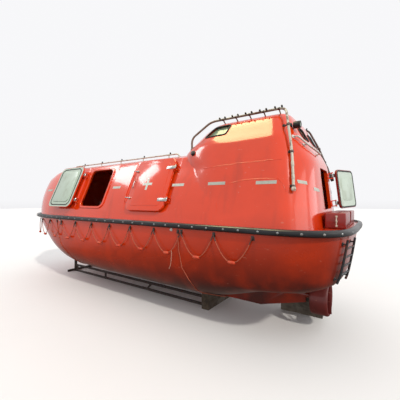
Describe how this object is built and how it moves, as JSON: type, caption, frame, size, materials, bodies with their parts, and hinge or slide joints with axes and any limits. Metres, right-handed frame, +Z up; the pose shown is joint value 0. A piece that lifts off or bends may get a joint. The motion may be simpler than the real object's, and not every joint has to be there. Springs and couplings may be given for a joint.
{
  "type": "totally enclosed lifeboat on a storage cradle",
  "caption": "Enclosed rescue boat with a rigid canopy, raised steering tower, hinged side hatches, steering nozzle and propeller, standing on a truss cradle.",
  "frame": {"origin": "centre of the object's box at ground level, under the middle of the boat", "axes": "+X to the bow, +Y to port, +Z up"},
  "size_m": [7.34, 2.51, 3.0539],
  "materials": {
    "orange_grp": "glossy orange gelcoat over glass-reinforced plastic, weathered",
    "red_grp": "dark red gelcoat, duller than the canopy",
    "fender_rubber": "black moulded rubber",
    "window_pane": "clear toughened pane with a green cast",
    "pale_grp": "pale grey-green inner gelcoat",
    "steel": "stainless steel, dulled",
    "pipe_paint": "cream paint on steel pipe",
    "bronze": "cast bronze, tarnished",
    "dark_paint": "dark grey paint",
    "rope": "laid polypropylene rope, orange and faded",
    "rusty_steel": "brown rusty mild steel",
    "timber": "rough grey-brown packing timber"
  },
  "bodies": {
    "root": {"hull_shell": "orange_grp", "deck": "orange_grp", "fender": "fender_rubber", "canopy_shell": "orange_grp", "tower_shell": "orange_grp", "tower_sill": "orange_grp", "window_port": "window_pane", "window_starboard": "window_pane", "window_front_port": "window_pane", "window_front_starboard": "window_pane", "window_aft_port": "window_pane", "window_aft_starboard": "window_pane", "cabin_sole": "pale_grp", "bench_port": "pale_grp", "bench_starboard": "pale_grp", "engine_block": "dark_paint", "helm_seat": "dark_paint", "hook_pedestal_fore": "red_grp", "hook_pedestal_aft": "red_grp", "release_hook_fore": "steel", "release_hook_aft": "steel", "spray_rail_port": "pipe_paint", "spray_rail_starboard": "pipe_paint", "spray_pipe_port": "pipe_paint", "spray_pipe_starboard": "pipe_paint", "grab_line_port": "rope", "grab_line_starboard": "rope", "keel_line_fore": "rope", "keel_line_aft": "rope", "line_tail_port": "rope", "stern_ladder": "dark_paint", "aft_hand_rail": "dark_paint", "tower_lamp": "dark_paint", "truss_port_lower_chord": "rusty_steel", "truss_port_upper_chord": "rusty_steel", "truss_port_front_post": "rusty_steel", "truss_port_upright": "rusty_steel", "truss_port_diagonal": "rusty_steel", "truss_port_gusset": "rusty_steel", "truss_starboard_lower_chord": "rusty_steel", "truss_starboard_upper_chord": "rusty_steel", "truss_starboard_front_post": "rusty_steel", "truss_starboard_upright": "rusty_steel", "truss_starboard_diagonal": "rusty_steel", "truss_starboard_gusset": "rusty_steel", "cradle_foot_bow": "rusty_steel", "cradle_bolster": "timber", "cradle_board_aft": "timber"},
    "port_fore_hatch": {"hatch_port_fore": "orange_grp"},
    "port_aft_hatch": {"hatch_port_aft": "orange_grp"},
    "starboard_fore_hatch": {"hatch_starboard_fore": "orange_grp"},
    "starboard_aft_hatch": {"hatch_starboard_aft": "orange_grp"},
    "stern_door": {"aft_door": "red_grp"},
    "nozzle": {"steering_nozzle": "red_grp"},
    "screw": {"propeller": "bronze"}
  },
  "joints": [
    {"name": "port_fore_hatch_hinge", "type": "hinge", "parent": "root", "child": "port_fore_hatch", "pos_m": [1.225, 1.00742, 2.08979], "axis": [0, -0.392, 0.92], "range_deg": [0, 180]},
    {"name": "port_aft_hatch_hinge", "type": "hinge", "parent": "root", "child": "port_aft_hatch", "pos_m": [-1.235, 1.00742, 2.08979], "axis": [0, -0.392, 0.92], "range_deg": [0, 150]},
    {"name": "starboard_fore_hatch_hinge", "type": "hinge", "parent": "root", "child": "starboard_fore_hatch", "pos_m": [1.225, -1.00742, 2.08979], "axis": [0, 0.392, 0.92], "range_deg": [0, 180]},
    {"name": "starboard_aft_hatch_hinge", "type": "hinge", "parent": "root", "child": "starboard_aft_hatch", "pos_m": [-1.235, -1.00742, 2.08979], "axis": [0, -0.392, -0.92], "range_deg": [0, 150]},
    {"name": "stern_door_hinge", "type": "hinge", "parent": "root", "child": "stern_door", "pos_m": [-3.3056, -0.345, 1.98167], "axis": [0.1191, 0, 0.9929], "range_deg": [-165, 0]},
    {"name": "nozzle_steer", "type": "hinge", "parent": "root", "child": "nozzle", "pos_m": [-3.185, 0, 0.43], "axis": [0, 0, 1], "range_deg": [-32, 32]},
    {"name": "screw_spin", "type": "hinge", "parent": "root", "child": "screw", "pos_m": [-3.16, 0, 0.43], "axis": [1, 0, 0], "continuous": true}
  ]
}
